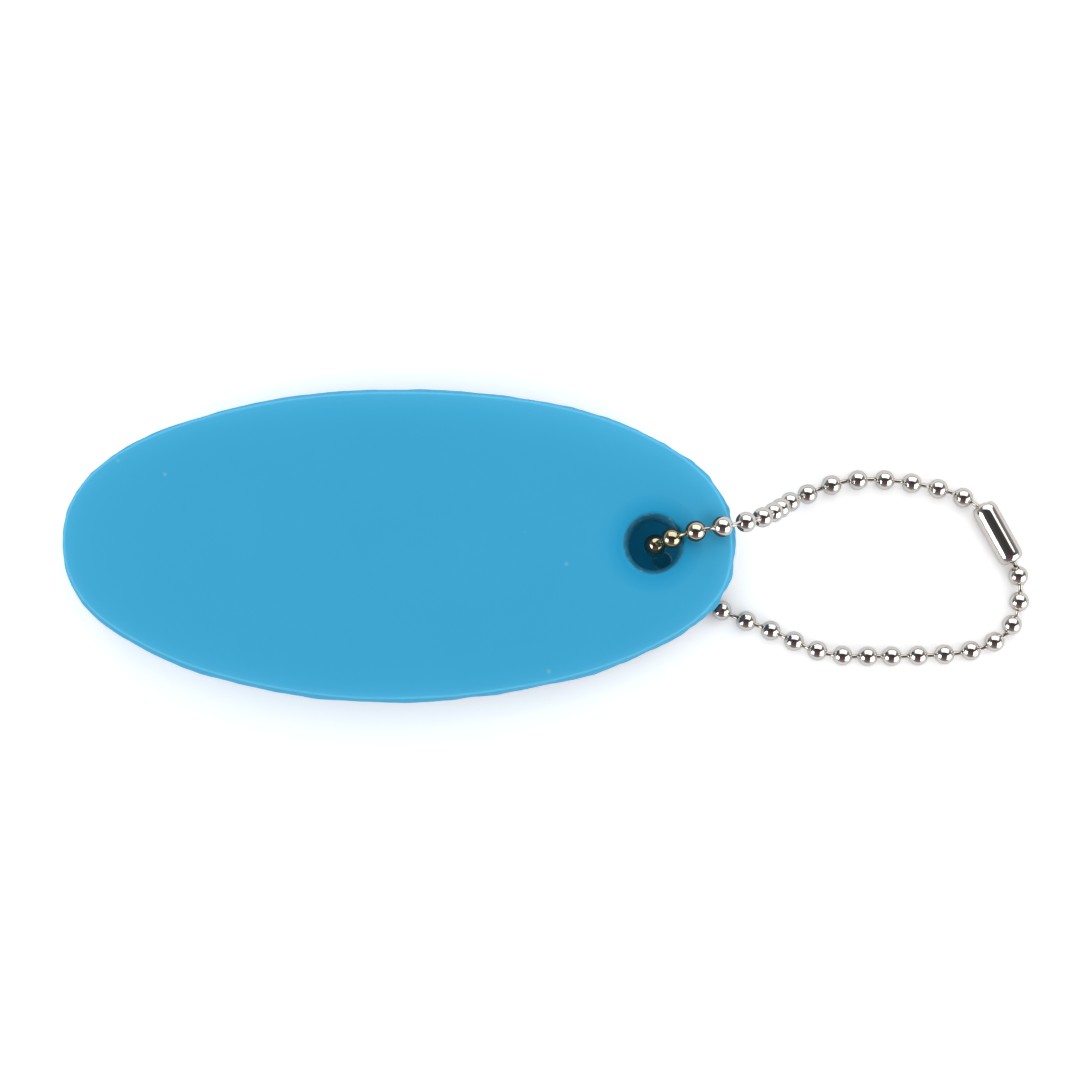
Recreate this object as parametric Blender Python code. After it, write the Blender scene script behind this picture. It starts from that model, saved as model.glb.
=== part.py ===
"""Floating keychain, as it lies on a table.

An oval foam float dipped in soft vinyl has a round hole near its right end. A loop of
nickel-plated ball chain goes through the hole, over the float's face, round on the table
and back under the float, and a split tube clasp holds its two end balls. Each hollow ball
carries the pin by which it hangs in the ball before it.

Metres, +Z up. The origin is under the middle of the whole object, on the table.
"""

import math

import bmesh
import bpy
from mathutils import Matrix, Vector

COLLECTION = "floating_keychain"
MM = 0.001
UP = Vector((0.0, 0.0, 1.0))

# The float: two flat faces, a rolled edge round each, and a rim that bulges between them
FLOAT_LENGTH = 105.3 * MM
FLOAT_WIDTH = 48.9 * MM
FLOAT_THICKNESS = 15.0 * MM
OVAL_POWER = 2.12
RIM_BULGE = 0.7 * MM
EDGE_RADIUS = 0.9 * MM
OVAL_POINTS = 96
EDGE_STEPS = 3
RIM_STEPS = 4

# The hole, with its centre measured from the float's right end; its skin stands in at
# mid-thickness
HOLE_DIAMETER = 9.0 * MM
HOLE_NARROWING = 0.7 * MM
HOLE_INSET = 12.7 * MM
HOLE_EDGE_RADIUS = 0.7 * MM
HOLE_POINTS = 32
HOLE_STEPS = 6

# The chain: hollow balls with a hole at each end, and pins with a head at each end
BALL_DIAMETER = 3.2 * MM
BALL_WALL = 0.2 * MM
BALL_HOLE_DIAMETER = 0.92 * MM
PIN_DIAMETER = 0.52 * MM
FREE_HEAD_DIAMETER = 1.0 * MM
FREE_HEAD_DEPTH = 1.05 * MM
FIXED_HEAD_DIAMETER = 1.3 * MM
FIXED_HEAD_DEPTH = 0.42 * MM
BALL_POINTS = 10
BALL_BANDS_OUTSIDE = 6
BALL_BANDS_INSIDE = 4
PIN_POINTS = 8
PIN_TURN = math.radians(7)
AXIS_ROUNDS = 12

# The clasp: a split tube drawn in at both ends, each end holding one ball
CLASP_LENGTH = 10.3 * MM
CLASP_DIAMETER = 4.1 * MM
CLASP_WALL = 0.25 * MM
CLASP_MOUTH_DIAMETER = 2.7 * MM
CLASP_SPLIT = 1.1 * MM
END_BALL_DEPTH = 1.4 * MM
CLASP_POINTS = 20
CLASP_END_STEPS = 3

# Clearances
REST_GAP = 0.1 * MM
LOOP_GAP = 0.3 * MM

# Where the chain lies, chosen by eye: for each ball x and y in millimetres from the hole's
# centre, and its height as the share of the fall from the float's face (0) to the table (1).
# The first run goes from the ball in the hole over the face and round to the clasp.
OVER_RUN = (
    (0.2, 0.0, 0.262),
    (2.5, 0.8, 0.085),
    (6.1, 1.8, 0.0),
    (10.2, 2.5, 0.0),
    (13.9, 3.3, 0.095),
    (16.7, 4.2, 0.258),
    (18.7, 5.2, 0.452),
    (20.1, 6.1, 0.650),
    (21.9, 7.3, 0.835),
    (24.9, 8.7, 0.965),
    (28.8, 10.2, 1.0),
    (33.0, 11.0, 1.0),
    (37.3, 11.0, 1.0),
    (41.6, 10.5, 1.0),
    (45.8, 9.6, 1.0),
    (49.8, 8.2, 1.0),
)
# The second run goes on from the clasp's far end, back under the float and up into the hole.
UNDER_RUN = (
    (58.5, -4.3, 1.0),
    (58.6, -8.4, 1.0),
    (57.4, -12.1, 1.0),
    (54.6, -14.8, 1.0),
    (50.8, -16.2, 1.0),
    (46.6, -16.8, 1.0),
    (42.4, -17.0, 1.0),
    (38.2, -17.1, 1.0),
    (34.4, -17.1, 1.0),
    (30.4, -17.0, 1.0),
    (26.4, -16.2, 1.0),
    (22.7, -14.7, 1.0),
    (19.0, -13.0, 1.0),
    (15.1, -11.5, 1.0),
    (11.2, -9.8, 1.0),
    (7.6, -7.6, 1.0),
    (4.3, -4.8, 1.0),
    (1.7, -1.9, 0.905),
    (0.5, -0.2, 0.722),
    (0.1, 0.2, 0.492),
)
# The clasp lies between the two runs: its middle, from the hole's centre, and its heading.
CLASP_MIDDLE = (55.2 * MM, 2.5 * MM)
CLASP_HEADING = math.radians(-61.5)
# The runs were chosen for end balls this far from the clasp's middle. Where the clasp's own
# sizes put them further out or in, this many balls of each run go along, less and less.
CHOSEN_REACH = 3.75 * MM
GIVING_BALLS = 5
# The ball of the second run that the float's underside rests on.
PROP_BALL = UNDER_RUN[16]

# Finishes: base colour, metallic, roughness
FLOAT_SKIN = ("float_skin", (0.052, 0.382, 0.658), 0.0, 0.5)
CHAIN_NICKEL = ("chain_nickel", (0.78, 0.77, 0.74), 1.0, 0.15)
CLASP_NICKEL = ("clasp_nickel", (0.80, 0.79, 0.77), 1.0, 0.12)

# What follows from the sizes above
BALL_RADIUS = BALL_DIAMETER / 2
BALL_MIDWALL = BALL_RADIUS - BALL_WALL / 2
HOLE_X = FLOAT_LENGTH / 2 - HOLE_INSET
PROP_HEIGHT = BALL_DIAMETER + REST_GAP
FOOT_X = FLOAT_LENGTH / 2 - RIM_BULGE - EDGE_RADIUS
FLOAT_TILT = math.asin(PROP_HEIGHT / (FOOT_X + HOLE_X + PROP_BALL[0] * MM))
FLOAT_HEIGHT = (
    FOOT_X * math.sin(FLOAT_TILT)
    + (FLOAT_THICKNESS / 2 - EDGE_RADIUS) * math.cos(FLOAT_TILT)
    + EDGE_RADIUS
)


def clear_scene():
    for item in list(bpy.data.objects):
        bpy.data.objects.remove(item)


def principled(finish):
    name, colour, metallic, roughness = finish
    material = bpy.data.materials.new(name)
    material.use_nodes = True
    shader = material.node_tree.nodes["Principled BSDF"]
    shader.inputs["Base Color"].default_value = (*colour, 1.0)
    shader.inputs["Metallic"].default_value = metallic
    shader.inputs["Roughness"].default_value = roughness
    return material


def finished(mesh, name, material, sharp_angle):
    """Names the mesh, gives it its material and shades it smooth up to the sharp angle."""
    mesh.name = name
    mesh.materials.clear()
    mesh.materials.append(material)
    mesh.shade_smooth()
    mesh.set_sharp_from_angle(angle=math.radians(sharp_angle))
    return mesh


def add_object(collection, mesh, placed, parent, worlds):
    """Puts a mesh into the collection at a world matrix, under its parent."""
    item = bpy.data.objects.new(mesh.name, mesh)
    collection.objects.link(item)
    item.parent = parent
    item.matrix_local = worlds[parent.name].inverted() @ placed if parent else placed
    worlds[item.name] = placed
    return item


def arc(centre, radius, start, end, steps):
    """Points of an arc as (along, radius) pairs, from one angle to another."""
    turn = (end - start) / steps
    return [
        (
            centre[0] + radius * math.cos(start + turn * i),
            centre[1] + radius * math.sin(start + turn * i),
        )
        for i in range(steps + 1)
    ]


def turned(profile, points, closed):
    """Turns a profile of (along X, radius) points into a solid round the X axis."""
    shape = bmesh.new()
    verts = [shape.verts.new((x, 0.0, r)) for x, r in profile]
    edges = [shape.edges.new(pair) for pair in zip(verts, verts[1:])]
    if closed:
        edges.append(shape.edges.new((verts[-1], verts[0])))
    bmesh.ops.spin(
        shape,
        geom=verts + edges,
        axis=(1.0, 0.0, 0.0),
        cent=(0.0, 0.0, 0.0),
        angle=math.tau,
        steps=points,
        use_merge=True,
    )
    bmesh.ops.remove_doubles(shape, verts=shape.verts, dist=1e-6)
    bmesh.ops.recalc_face_normals(shape, faces=shape.faces)
    mesh = bpy.data.meshes.new("turned")
    shape.to_mesh(mesh)
    shape.free()
    return mesh


def combined(first, second, operation):
    """A new mesh made from two closed meshes by an exact Boolean."""
    body = bpy.data.objects.new("body", first)
    tool = bpy.data.objects.new("tool", second)
    for item in (body, tool):
        bpy.context.scene.collection.objects.link(item)
    modifier = body.modifiers.new("combine", "BOOLEAN")
    modifier.operation = operation
    modifier.solver = "EXACT"
    modifier.object = tool
    bpy.context.view_layer.update()
    graph = bpy.context.evaluated_depsgraph_get()
    mesh = bpy.data.meshes.new_from_object(body.evaluated_get(graph))
    bpy.data.objects.remove(body)
    bpy.data.objects.remove(tool)
    return mesh


def oval_ring(inset, height):
    """One ring of the float: the oval drawn in by the inset, at a height from mid-thickness."""
    half_length = FLOAT_LENGTH / 2 - inset
    half_width = FLOAT_WIDTH / 2 - inset
    ring = []
    for i in range(OVAL_POINTS):
        angle = math.tau * i / OVAL_POINTS
        x = math.copysign(abs(math.cos(angle)) ** (2 / OVAL_POWER), math.cos(angle))
        y = math.copysign(abs(math.sin(angle)) ** (2 / OVAL_POWER), math.sin(angle))
        ring.append((half_length * x, half_width * y, height))
    return ring


def rim_section():
    """The float's side from top to bottom, as (inset, height) pairs: edge, bulge, edge."""
    roll_height = FLOAT_THICKNESS / 2 - EDGE_RADIUS
    centre = (RIM_BULGE + EDGE_RADIUS, roll_height)
    top = arc(centre, EDGE_RADIUS, math.pi / 2, math.pi, EDGE_STEPS)
    bulge = []
    for i in range(1, RIM_STEPS):
        height = roll_height * (1 - 2 * i / RIM_STEPS)
        bulge.append((RIM_BULGE * (height / roll_height) ** 2, height))
    bottom = [(inset, -height) for inset, height in reversed(top)]
    return top + bulge + bottom


def float_blank():
    """The float before its hole is cut: stacked ovals closed by two flat faces."""
    shape = bmesh.new()
    rings = [[shape.verts.new(p) for p in oval_ring(*pair)] for pair in rim_section()]
    for upper, lower in zip(rings, rings[1:]):
        for i in range(OVAL_POINTS):
            j = (i + 1) % OVAL_POINTS
            shape.faces.new((upper[i], lower[i], lower[j], upper[j]))
    shape.faces.new(rings[0])
    shape.faces.new(list(reversed(rings[-1])))
    bmesh.ops.recalc_face_normals(shape, faces=shape.faces)
    mesh = bpy.data.meshes.new("blank")
    shape.to_mesh(mesh)
    shape.free()
    return mesh


def hole_cutter():
    """What the hole takes away: a plug on +Z, drawn in at its middle, flared at both faces."""
    radius = HOLE_DIAMETER / 2
    face = FLOAT_THICKNESS / 2
    lip = (face - HOLE_EDGE_RADIUS, radius + HOLE_EDGE_RADIUS)
    flare = arc(lip, HOLE_EDGE_RADIUS, math.radians(270), math.radians(350), 3)
    wide = flare[-1][1]
    top = flare + [(face + HOLE_EDGE_RADIUS, wide), (face + HOLE_EDGE_RADIUS, 0.0)]
    waist = []
    for i in range(1, HOLE_STEPS):
        share = 2 * i / HOLE_STEPS - 1
        waist.append((lip[0] * share, radius - HOLE_NARROWING * (1 - share**2)))
    profile = [(-x, r) for x, r in reversed(top)] + waist + top
    mesh = turned(profile, HOLE_POINTS, closed=False)
    mesh.transform(Matrix.Rotation(-math.pi / 2, 4, "Y"))
    mesh.transform(Matrix.Translation((HOLE_X, 0.0, 0.0)))
    return mesh


def float_placed():
    """The float's world matrix: its left end on the table, its right end on the chain."""
    tilt = Matrix.Rotation(-FLOAT_TILT, 4, "Y")
    middle = Vector((-HOLE_X * math.cos(FLOAT_TILT), 0.0, FLOAT_HEIGHT))
    return Matrix.Translation(middle) @ tilt


def face_height(x):
    """Height of the float's upper face at a distance along X from the hole's centre."""
    along = HOLE_X + x / math.cos(FLOAT_TILT)
    return (
        FLOAT_HEIGHT
        + along * math.sin(FLOAT_TILT)
        + FLOAT_THICKNESS / 2 * math.cos(FLOAT_TILT)
    )


def ball_centre(place):
    """A ball's centre from its x, y and share of the fall from the face to the table."""
    x, y, fall = place[0] * MM, place[1] * MM, place[2]
    on_face = face_height(x) + BALL_RADIUS + REST_GAP
    return Vector((x, y, on_face + (BALL_RADIUS - on_face) * fall))


def clasp_axis():
    return Vector((math.cos(CLASP_HEADING), math.sin(CLASP_HEADING), 0.0))


def chain_centres():
    """Every ball's centre, in order: over run, the clasp's two end balls, under run."""
    middle = Vector((*CLASP_MIDDLE, CLASP_DIAMETER / 2))
    reach = CLASP_LENGTH / 2 - END_BALL_DEPTH
    over = [ball_centre(place) for place in OVER_RUN]
    under = [ball_centre(place) for place in UNDER_RUN]
    for i in range(GIVING_BALLS):
        give = clasp_axis() * (reach - CHOSEN_REACH) * (1 - (i + 1) / (GIVING_BALLS + 1))
        over[-1 - i] -= give
        under[i] += give
    return over + [middle - clasp_axis() * reach, middle + clasp_axis() * reach] + under


def chain_axes(centres):
    """The line through each ball's two holes, in chain order.

    Each ball starts in line with its neighbours and is then turned, a few rounds over, until
    its two pins leave it at like angles. The clasp's two balls face their outer pins.
    """
    count = len(centres)
    first_held = len(OVER_RUN)
    axes = [(centres[(i + 1) % count] - centres[i - 1]).normalized() for i in range(count)]
    for _ in range(AXIS_ROUNDS):
        starts = [centres[i] + axes[i] * BALL_MIDWALL for i in range(count)]
        ends = [centres[i] - axes[i] * BALL_MIDWALL for i in range(count)]
        pins = [(ends[(i + 1) % count] - starts[i]).normalized() for i in range(count)]
        wanted = [(pins[i - 1] + pins[i]).normalized() for i in range(count)]
        wanted[first_held] = pins[first_held - 1]
        wanted[first_held + 1] = pins[first_held + 1]
        axes = [(axis + half * 0.5).normalized() for axis, half in zip(axes, wanted)]
    return axes


def along_frame(origin, along):
    """A matrix at the origin with X along the given line and Y level."""
    x_axis = along.normalized()
    level = UP.cross(x_axis)
    y_axis = level.normalized() if level.length > 0.1 else Vector((0.0, 1.0, 0.0))
    z_axis = x_axis.cross(y_axis).normalized()
    y_axis = z_axis.cross(x_axis)
    turn = Matrix((x_axis, y_axis, z_axis)).transposed().to_4x4()
    return Matrix.Translation(origin) @ turn


def ball_shell():
    """A hollow ball on the X axis, open at both ends."""
    inner_radius = BALL_RADIUS - BALL_WALL
    outer_start = math.asin(BALL_HOLE_DIAMETER / 2 / BALL_RADIUS)
    inner_start = math.asin(BALL_HOLE_DIAMETER / 2 / inner_radius)
    outer = arc((0, 0), BALL_RADIUS, outer_start, math.pi - outer_start, BALL_BANDS_OUTSIDE)
    inner = arc((0, 0), inner_radius, math.pi - inner_start, inner_start, BALL_BANDS_INSIDE)
    return turned(outer + inner, BALL_POINTS, closed=True)


def pin_head(centre, diameter, towards):
    """A head's outline from its rounded end to the pin, which leaves it towards +X or -X."""
    radius = diameter / 2
    pin_radius = PIN_DIAMETER / 2
    neck = math.sqrt(radius**2 - pin_radius**2)
    return [
        (centre - towards * radius, 0.0),
        (centre - towards * radius * 0.5, radius * math.sqrt(0.75)),
        (centre + towards * radius * 0.5, radius * math.sqrt(0.75)),
        (centre + towards * neck, pin_radius),
    ]


def pin(length):
    """A pin from the hole of the ball before, at x = 0, to its own ball's hole, at x = length."""
    free = pin_head(-FREE_HEAD_DEPTH, FREE_HEAD_DIAMETER, 1)
    fixed = pin_head(length + FIXED_HEAD_DEPTH, FIXED_HEAD_DIAMETER, -1)
    return turned(free + list(reversed(fixed)), PIN_POINTS, closed=False)


def open_pin(length):
    """The clasp's last pin, from its own ball's hole at x = 0, cut short at x = length."""
    fixed = pin_head(-FIXED_HEAD_DEPTH, FIXED_HEAD_DIAMETER, 1)
    end = [(length, PIN_DIAMETER / 2), (length, 0.0)]
    return turned(fixed + end, PIN_POINTS, closed=False)


def pinned(shell, inserted):
    """Joins a pin to its ball, turned so that the facets of the two don't line up."""
    inserted.transform(Matrix.Rotation(PIN_TURN, 4, "X"))
    return combined(shell, inserted, "UNION")


def ball_with_pin(centre, axis, link_start, link_end):
    """A ball and its pin as one mesh in the pin's own frame, with the world matrix of that."""
    placed = along_frame(link_start, link_end - link_start)
    shell = ball_shell()
    shell.transform(placed.inverted() @ along_frame(centre, axis))
    length = (link_end - link_start).length
    return pinned(shell, pin(length)), placed


def clasp_tube():
    """The clasp along X: a tube drawn in at both ends and split along its underside."""
    mouth = CLASP_MOUTH_DIAMETER / 2
    roll = CLASP_DIAMETER / 2 - mouth
    centre = (CLASP_LENGTH / 2 - roll, mouth)
    quarter = math.pi / 2
    outer = arc(centre, roll, 0.0, quarter, CLASP_END_STEPS)
    inner = arc(centre, roll - CLASP_WALL, quarter, 0.0, CLASP_END_STEPS)
    profile = (
        outer
        + [(-x, r) for x, r in reversed(outer)]
        + [(-x, r) for x, r in reversed(inner)]
        + inner
    )
    tube = turned(profile, CLASP_POINTS, closed=True)
    shape = bmesh.new()
    bmesh.ops.create_cube(shape, size=1.0)
    split = bpy.data.meshes.new("split")
    shape.to_mesh(split)
    shape.free()
    split.transform(Matrix.Diagonal((CLASP_LENGTH * 1.2, CLASP_SPLIT, CLASP_DIAMETER, 1.0)))
    split.transform(Matrix.Translation((0.0, 0.0, -CLASP_DIAMETER / 2)))
    return combined(tube, split, "DIFFERENCE")


def ball_name(index):
    return f"chain_ball_{index + 1:02d}"


def chain_pieces(centres, axes):
    """Each ball as (index, index of the ball it hangs in or None, mesh, world matrix).

    The ball in the hole comes first, then the run over the face with the clasp's two balls,
    then the run under the float, each starting at the hole.
    """
    last_over = len(OVER_RUN)
    pieces = [(0, None, ball_shell(), along_frame(centres[0], axes[0]))]
    for i in range(1, last_over + 1):
        start = centres[i - 1] + axes[i - 1] * BALL_MIDWALL
        end = centres[i] - axes[i] * BALL_MIDWALL
        pieces.append((i, i - 1, *ball_with_pin(centres[i], axes[i], start, end)))

    i = last_over + 1
    start = centres[i] + axes[i] * BALL_MIDWALL
    reach = centres[i + 1] - start
    placed = along_frame(start, reach)
    shell = ball_shell()
    shell.transform(placed.inverted() @ along_frame(centres[i], axes[i]))
    short = open_pin(reach.length - BALL_RADIUS - LOOP_GAP)
    pieces.append((i, i - 1, pinned(shell, short), placed))

    for i in range(len(centres) - 1, last_over + 1, -1):
        before = (i + 1) % len(centres)
        start = centres[before] - axes[before] * BALL_MIDWALL
        end = centres[i] + axes[i] * BALL_MIDWALL
        pieces.append((i, before, *ball_with_pin(centres[i], axes[i], start, end)))
    return pieces


def build():
    clear_scene()
    collection = bpy.data.collections.new(COLLECTION)
    bpy.context.scene.collection.children.link(collection)
    skin = principled(FLOAT_SKIN)
    nickel = principled(CHAIN_NICKEL)
    clasp_nickel = principled(CLASP_NICKEL)

    centres = chain_centres()
    axes = chain_axes(centres)
    left = float_placed().translation.x - FLOAT_LENGTH / 2 * math.cos(FLOAT_TILT)
    right = max(centre.x for centre in centres) + BALL_RADIUS
    to_origin = Matrix.Translation((-(left + right) / 2, 0.0, 0.0))
    worlds = {}

    float_mesh = combined(float_blank(), hole_cutter(), "DIFFERENCE")
    finished(float_mesh, "float_body", skin, 40)
    body = add_object(collection, float_mesh, to_origin @ float_placed(), None, worlds)

    balls = {None: body}
    for index, before, mesh, placed in chain_pieces(centres, axes):
        finished(mesh, ball_name(index), nickel, 50)
        balls[index] = add_object(
            collection, mesh, to_origin @ placed, balls[before], worlds
        )

    clasp = finished(clasp_tube(), "chain_clasp", clasp_nickel, 40)
    middle = Vector((*CLASP_MIDDLE, CLASP_DIAMETER / 2))
    placed = to_origin @ along_frame(middle, clasp_axis())
    add_object(collection, clasp, placed, balls[len(OVER_RUN)], worlds)


build()
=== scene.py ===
"""Floating keychain: a sky-blue foam float with a loop of nickel ball chain through its hole.

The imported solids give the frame; the surfaces made here stand in for them and ride on their
bodies. Metres, +Z up, the table at z = 0, seen from nearly straight above.
"""

import bmesh  # noqa: E402
import bpy  # noqa: E402
import numpy as np  # noqa: E402
from mathutils import Euler, Matrix, Vector  # noqa: E402


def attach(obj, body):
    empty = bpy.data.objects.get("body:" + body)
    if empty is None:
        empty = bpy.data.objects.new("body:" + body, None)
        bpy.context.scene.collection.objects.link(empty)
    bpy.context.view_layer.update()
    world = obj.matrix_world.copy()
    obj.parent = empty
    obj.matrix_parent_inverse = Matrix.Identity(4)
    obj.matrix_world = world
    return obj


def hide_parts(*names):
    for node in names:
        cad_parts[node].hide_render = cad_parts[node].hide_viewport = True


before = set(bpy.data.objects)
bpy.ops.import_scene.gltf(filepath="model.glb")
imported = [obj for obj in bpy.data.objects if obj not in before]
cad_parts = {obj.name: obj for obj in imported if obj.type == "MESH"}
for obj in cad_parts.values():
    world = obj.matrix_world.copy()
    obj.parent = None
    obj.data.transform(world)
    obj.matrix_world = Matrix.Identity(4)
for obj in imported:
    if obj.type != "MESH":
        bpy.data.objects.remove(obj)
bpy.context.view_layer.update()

MM = 0.001

# Camera
# The picture is taken from 450 mm above the table, tipped 3 degrees so that a little of the
# float's near rim shows. The frame covers 173 mm of the table.

CAMERA_DISTANCE = 0.450
CAMERA_TIP = np.radians(3.0)
SENSOR_WIDTH = 36.0
LENS_LENGTH = 93.75
NEAREST_SEEN = 0.01
LOOKS_AT = Vector((-0.00154, 0.0015, 0.0))

lens = bpy.data.cameras.new("studio_camera")
lens.sensor_width = SENSOR_WIDTH
lens.lens = LENS_LENGTH
lens.clip_start = NEAREST_SEEN
camera = bpy.data.objects.new("studio_camera", lens)
bpy.context.scene.collection.objects.link(camera)
camera.location = LOOKS_AT + CAMERA_DISTANCE * Vector(
    (0.0, -float(np.sin(CAMERA_TIP)), float(np.cos(CAMERA_TIP)))
)
camera.rotation_euler = Euler((float(CAMERA_TIP), 0.0, 0.0))
bpy.context.scene.camera = camera
bpy.context.scene.view_settings.view_transform = "Standard"

# Table, room and lamps
# A white table that runs out into a white backdrop, a dark ceiling with one dull red patch,
# and three soft panels: one beyond the object, reaching almost overhead, and one low at each
# near side.

TABLE_RADIUS = 8.0
TABLE_RINGS = 24
TABLE_AROUND = 96
TABLE_PAINT = (0.80, 0.80, 0.80, 1.0)
BACKDROP_FROM = 0.16
BACKDROP_FULL = 0.60
BACKDROP_IN_MIRRORS = 0.84

# The camera sees the open table a little lighter than the lamps make it, and less so where
# something stands close above it.
LIFT = 0.58
LIFT_IN_MIRRORS = 0.25
SHELTER_REACH = 0.014
SHELTERED = 0.22
OPEN_SKY = 0.62

# The patch of table seen through the float's hole is painted shade: dark blue paint and a faint
# blue glow.
PATCH_MIDDLE = (0.0166, 0.0005, 0.0)
PATCH_FULL = 0.0040
PATCH_REACH = 0.0050
HOLE_SHADE_PAINT = (0.03, 0.22, 0.28, 1.0)
HOLE_SHADE_GLOW = (0.001, 0.036, 0.074, 1.0)


def new_nodes(owner):
    """Empties a material's or world's node tree and returns functions to add and join nodes."""
    owner.use_nodes = True
    tree = owner.node_tree
    tree.nodes.clear()

    def add(kind, values=None, **settings):
        """A node with its settings, and with values for its sockets by name or number."""
        node = tree.nodes.new(kind)
        for key, value in settings.items():
            setattr(node, key, value)
        for key, value in (values or {}).items():
            node.inputs[key].default_value = value
        return node

    def join(source, target):
        """A wire from an output to an input."""
        tree.links.new(source, target)

    return add, join


def table_material():
    """White paint near the object, plain white light for camera and mirrors further out."""
    material = bpy.data.materials.new("table_white")
    add, join = new_nodes(material)
    place = add("ShaderNodeNewGeometry")
    ray = add("ShaderNodeLightPath")

    # Painted shade: round the hole's axis the table's paint and its glow for the camera and
    # mirrors turn dark blue.
    from_patch = add("ShaderNodeVectorMath", {1: PATCH_MIDDLE}, operation="DISTANCE")
    join(place.outputs["Position"], from_patch.inputs[0])
    in_patch = add(
        "ShaderNodeMapRange",
        {"From Min": PATCH_FULL, "From Max": PATCH_REACH, "To Min": 1.0, "To Max": 0.0},
        interpolation_type="SMOOTHSTEP",
    )
    join(from_patch.outputs["Value"], in_patch.inputs["Value"])
    paint_tone = add("ShaderNodeMix", {"A": TABLE_PAINT, "B": HOLE_SHADE_PAINT}, data_type="RGBA")
    join(in_patch.outputs["Result"], paint_tone.inputs["Factor"])
    paint = add("ShaderNodeBsdfDiffuse")
    join(paint_tone.outputs["Result"], paint.inputs["Color"])

    shelter = add("ShaderNodeAmbientOcclusion", {"Distance": SHELTER_REACH}, samples=4)
    open_sky = add(
        "ShaderNodeMapRange", {"From Min": SHELTERED, "From Max": OPEN_SKY, "To Max": LIFT}
    )
    join(shelter.outputs["AO"], open_sky.inputs["Value"])
    lift_tone = add("ShaderNodeMix", {"B": HOLE_SHADE_GLOW}, data_type="RGBA")
    join(in_patch.outputs["Result"], lift_tone.inputs["Factor"])
    join(open_sky.outputs["Result"], lift_tone.inputs["A"])
    lift_share = add("ShaderNodeMath", {1: LIFT_IN_MIRRORS}, operation="MULTIPLY_ADD")
    join(ray.outputs["Is Glossy Ray"], lift_share.inputs[0])
    join(ray.outputs["Is Camera Ray"], lift_share.inputs[2])
    lift = add("ShaderNodeEmission")
    join(lift_tone.outputs["Result"], lift.inputs["Color"])
    join(lift_share.outputs["Value"], lift.inputs["Strength"])
    near = add("ShaderNodeAddShader")
    join(paint.outputs["BSDF"], near.inputs[0])
    join(lift.outputs["Emission"], near.inputs[1])

    backdrop = add("ShaderNodeMix", {"A": BACKDROP_IN_MIRRORS, "B": 1.0}, data_type="FLOAT")
    join(ray.outputs["Is Camera Ray"], backdrop.inputs["Factor"])
    white = add("ShaderNodeEmission")
    join(backdrop.outputs["Result"], white.inputs["Strength"])
    length = add("ShaderNodeVectorMath", operation="LENGTH")
    join(place.outputs["Position"], length.inputs[0])
    fade = add(
        "ShaderNodeMapRange",
        {"From Min": BACKDROP_FROM, "From Max": BACKDROP_FULL},
        interpolation_type="SMOOTHSTEP",
    )
    join(length.outputs["Value"], fade.inputs["Value"])
    seen = add("ShaderNodeMath", operation="MAXIMUM")
    join(ray.outputs["Is Camera Ray"], seen.inputs[0])
    join(ray.outputs["Is Glossy Ray"], seen.inputs[1])
    far = add("ShaderNodeMath", operation="MULTIPLY")
    join(fade.outputs["Result"], far.inputs[0])
    join(seen.outputs["Value"], far.inputs[1])

    mix = add("ShaderNodeMixShader")
    join(far.outputs["Value"], mix.inputs["Fac"])
    join(near.outputs["Shader"], mix.inputs[1])
    join(white.outputs["Emission"], mix.inputs[2])
    out = add("ShaderNodeOutputMaterial")
    join(mix.outputs["Shader"], out.inputs["Surface"])
    return material


def grid_quads(rows, columns, wrap_rows=True, wrap_columns=True):
    """Corners of the quads between neighbours of a grid that is numbered row by row: point
    (i, j) is number i * columns + j. A wrapped side also joins its last line to its first."""
    i, j = np.meshgrid(
        np.arange(rows if wrap_rows else rows - 1),
        np.arange(columns if wrap_columns else columns - 1),
        indexing="ij",
    )
    here, there = i * columns, (i + 1) % rows * columns
    after = (j + 1) % columns
    return np.stack([here + j, there + j, there + after, here + after], axis=-1).reshape(-1, 4)


def flat_disc(name, radius, rings, points):
    """A level disc at z = 0, with ring k of n at radius * (k / n) squared."""
    share = np.linspace(0.0, 1.0, rings + 1)[1:] ** 2
    turn = np.linspace(0.0, 2 * np.pi, points, endpoint=False)
    x = radius * share[:, None] * np.cos(turn)
    y = radius * share[:, None] * np.sin(turn)
    ring = np.stack([x, y, np.zeros_like(x)], axis=-1).reshape(-1, 3)
    verts = np.vstack([ring, [[0.0, 0.0, 0.0]]])
    quads = grid_quads(rings, points, wrap_rows=False)
    first = np.arange(points)
    fan = np.stack([np.full(points, rings * points), first, (first + 1) % points], axis=-1)
    mesh = bpy.data.meshes.new(name)
    mesh.from_pydata(verts.tolist(), [], quads.tolist() + fan.tolist())
    mesh.update()
    return mesh


table_mesh = flat_disc("table", TABLE_RADIUS, TABLE_RINGS, TABLE_AROUND)
table_mesh.materials.append(table_material())
table = bpy.data.objects.new("table", table_mesh)
bpy.context.scene.collection.objects.link(table)

# The room's grey by height, from level (0) to overhead (1), and its red patch high on the near
# side: the cosines from its middle at which it begins and is full.
ROOM_TONES = ((0.0, 0.80), (0.16, 0.26), (0.5, 0.17), (0.85, 0.07), (1.0, 0.05))
RED_HEADING = (-0.10, -0.45, 0.887)
RED_FROM = 0.950
RED_FULL = 0.985
RED_TONE = (0.21, 0.045, 0.07, 1.0)
WHITE = (1.0, 1.0, 1.0, 1.0)


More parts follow.
